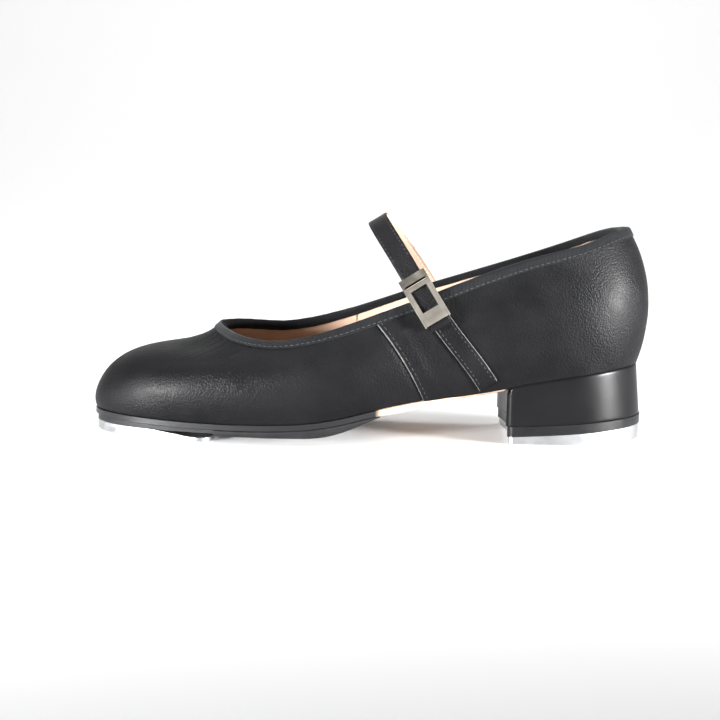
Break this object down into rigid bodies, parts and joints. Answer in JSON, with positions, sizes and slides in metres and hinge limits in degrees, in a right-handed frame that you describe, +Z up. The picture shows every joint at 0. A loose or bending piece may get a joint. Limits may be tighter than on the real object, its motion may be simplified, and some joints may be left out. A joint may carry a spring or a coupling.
{
  "type": "tap shoe",
  "caption": "Low-heeled leather tap shoe with a single strap held in a hinged clamp buckle, metal toe and heel taps, bound topline, stacked sole and foot cavity.",
  "frame": {"origin": "bottom centre of the shoe's bounding box, on the floor under both taps", "axes": "+X from toe to heel, +Y from the buckle side to the inner side of the foot, +Z up; it is a left shoe"},
  "size_m": [0.2527, 0.0843, 0.1003],
  "materials": {
    "upper_leather": "fine grained black leather, soft sheen",
    "lining_leather": "matte tan lining leather",
    "stiffener": "matte thermoplastic stiffener",
    "interlining": "white woven interlining",
    "binding": "ribbed black tape",
    "board": "pressed fibre board",
    "cork": "granulated cork",
    "steel": "plain spring steel",
    "sole_leather": "natural sole leather, edge inked dark at the forepart",
    "half_sole": "dark non-slip rubber",
    "resonator": "black fibre board",
    "tap_metal": "tumbled cast aluminium",
    "screw_metal": "zinc plated",
    "heel_wood": "stacked heel block",
    "heel_cover": "black leather, smooth and slightly glossy",
    "lift": "black heel lift",
    "buckle_metal": "warm nickel plate"
  },
  "bodies": {
    "shoe": {"buckle_base": "buckle_metal", "buckle_pin": "buckle_metal", "buckle_rivets": "buckle_metal", "buckle_tab": "upper_leather", "cork_filler": "cork", "forepart_sole": "half_sole", "heel_block": "heel_wood", "heel_counter": "stiffener", "heel_cover": "heel_cover", "heel_lift": "lift", "heel_nails": "screw_metal", "heel_tap": "tap_metal", "heel_tap_screws": "screw_metal", "insole_board": "board", "interlining_lateral": "interlining", "interlining_medial": "interlining", "lasting_margin": "upper_leather", "leather_sole": "sole_leather", "quarter_lateral": "upper_leather", "quarter_lining_lateral": "lining_leather", "quarter_lining_medial": "lining_leather", "quarter_medial": "upper_leather", "sock_liner": "lining_leather", "steel_shank": "steel", "strap_root_tab": "upper_leather", "toe_puff": "stiffener", "toe_resonator_board": "resonator", "toe_tap": "tap_metal", "toe_tap_screws": "screw_metal", "topline_binding": "binding", "vamp": "upper_leather", "vamp_lining": "lining_leather"},
    "strap": {"strap_leather": "upper_leather", "strap_lining": "lining_leather"},
    "lever": {"buckle_lever": "buckle_metal"}
  },
  "joints": [
    {"name": "strap_swing", "type": "hinge", "parent": "shoe", "child": "strap", "pos_m": [0.03075, 0.03455, 0.05636], "axis": [-0.8471, 0, -0.5314], "range_deg": [0, 110]},
    {"name": "lever_open", "type": "hinge", "parent": "shoe", "child": "lever", "pos_m": [0.0183, -0.03742, 0.07131], "axis": [-0.8471, 0, -0.5314], "range_deg": [0, 75]}
  ]
}
